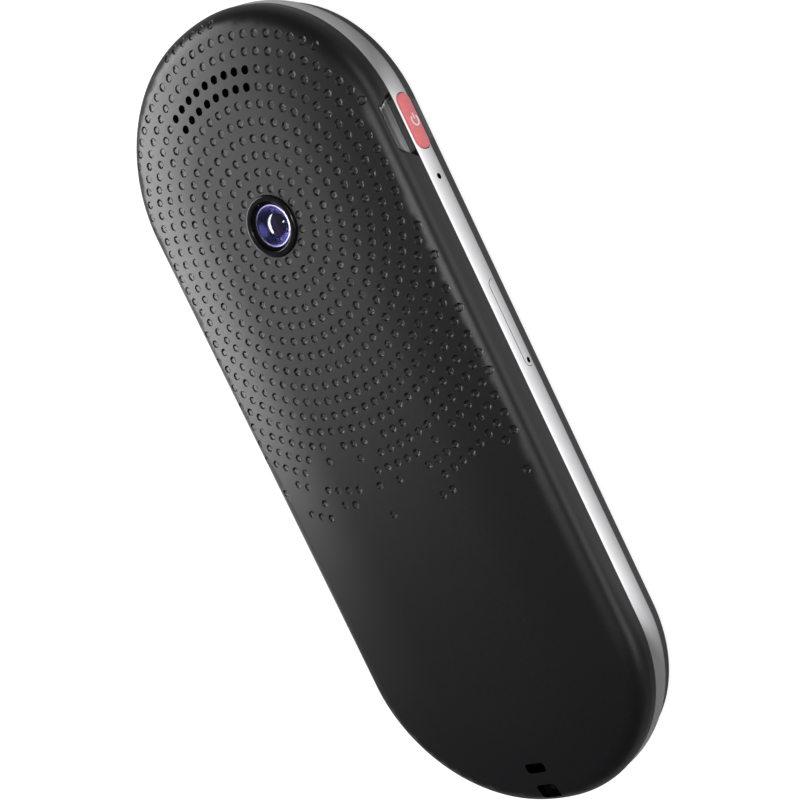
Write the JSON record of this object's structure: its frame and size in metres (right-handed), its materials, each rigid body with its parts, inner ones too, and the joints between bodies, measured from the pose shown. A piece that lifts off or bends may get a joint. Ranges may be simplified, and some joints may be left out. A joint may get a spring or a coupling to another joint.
{
  "type": "handheld translator",
  "caption": "Slim pocket voice translator with round ends: domed dimpled rear cover with camera and speaker holes, bright metal band, side power button, card tray and talk keys.",
  "frame": {"origin": "centre of the front glass on the surface it rests on; the device lies face down", "axes": "+Z out of the rear cover, +Y along the body to the camera end, +X to the power button's side"},
  "size_m": [0.052, 0.1298, 0.0121],
  "materials": {
    "cover_black": "matte black moulded plastic with small round dimples on its upper half",
    "band_metal": "mirror-bright dark grey metal",
    "rim_black": "satin black plastic",
    "front_glass": "polished cover glass, printed black behind",
    "display_dark": "unlit display",
    "aluminium_plain": "plain cast and machined",
    "camera_black": "gloss black",
    "window_glass": "clear polished glass",
    "lens_glass": "coated lens glass with a violet cast",
    "steel_plain": "plain pressed steel",
    "inner_black": "plain black plastic",
    "mesh_cloth": "fine black acoustic cloth",
    "foam_black": "soft black foam or rubber",
    "battery_foil": "foil pouch",
    "board_green": "solder mask on glass-fibre board",
    "button_coral": "coral red, semi-gloss, lit from behind at its symbol",
    "key_black": "satin black"
  },
  "bodies": {
    "housing": {"rear_cover": "cover_black", "side_frame": "band_metal", "front_bezel": "rim_black", "front_glass": "front_glass", "display_module": "display_dark", "chassis_plate": "aluminium_plain", "camera_bezel": "camera_black", "camera_window": "window_glass", "lens_barrel": "camera_black", "camera_lens": "lens_glass", "camera_module": "camera_black", "camera_bracket": "steel_plain", "speaker_module": "inner_black", "speaker_feet": "inner_black", "speaker_mesh": "mesh_cloth", "speaker_gasket": "foam_black", "battery": "battery_foil", "battery_tray": "inner_black", "battery_foam": "foam_black", "key_board": "board_green", "key_switches": "steel_plain", "main_board": "board_green", "shield_can_large": "steel_plain", "shield_can_small": "steel_plain", "card_socket": "steel_plain", "power_switch": "inner_black", "volume_switches": "inner_black", "cover_screws": "steel_plain", "board_screws": "steel_plain", "port_shell": "steel_plain", "port_tongue": "inner_black", "port_board": "board_green", "side_microphone": "steel_plain", "side_microphone_boot": "foam_black", "low_microphone": "steel_plain"},
    "power_key": {"power_button": "button_coral"},
    "volume_key": {"volume_rocker": "band_metal"},
    "tray": {"card_tray": "band_metal"},
    "upper_key": {"talk_key_upper": "key_black"},
    "lower_key": {"talk_key_lower": "key_black"}
  },
  "joints": [
    {"name": "power_button_press", "type": "slide", "parent": "housing", "child": "power_key", "axis": [-1, 0, 0], "range_m": [0, 0.0004], "stiffness_N_per_m": 1200, "springref_m": -0.0003},
    {"name": "talk_key_upper_press", "type": "slide", "parent": "housing", "child": "upper_key", "axis": [0, 0, 1], "range_m": [0, 0.00035], "stiffness_N_per_m": 1200, "springref_m": -0.0003},
    {"name": "talk_key_lower_press", "type": "slide", "parent": "housing", "child": "lower_key", "axis": [0, 0, 1], "range_m": [0, 0.00035], "stiffness_N_per_m": 1200, "springref_m": -0.0003},
    {"name": "volume_rock", "type": "hinge", "parent": "housing", "child": "volume_key", "pos_m": [-0.0232, 0.034, 0.0046], "axis": [0, 0, 1], "range_deg": [-2, 2], "stiffness_Nm_per_rad": 0.05},
    {"name": "card_tray_slide", "type": "slide", "parent": "housing", "child": "tray", "axis": [1, 0, 0], "range_m": [0, 0.022]}
  ]
}
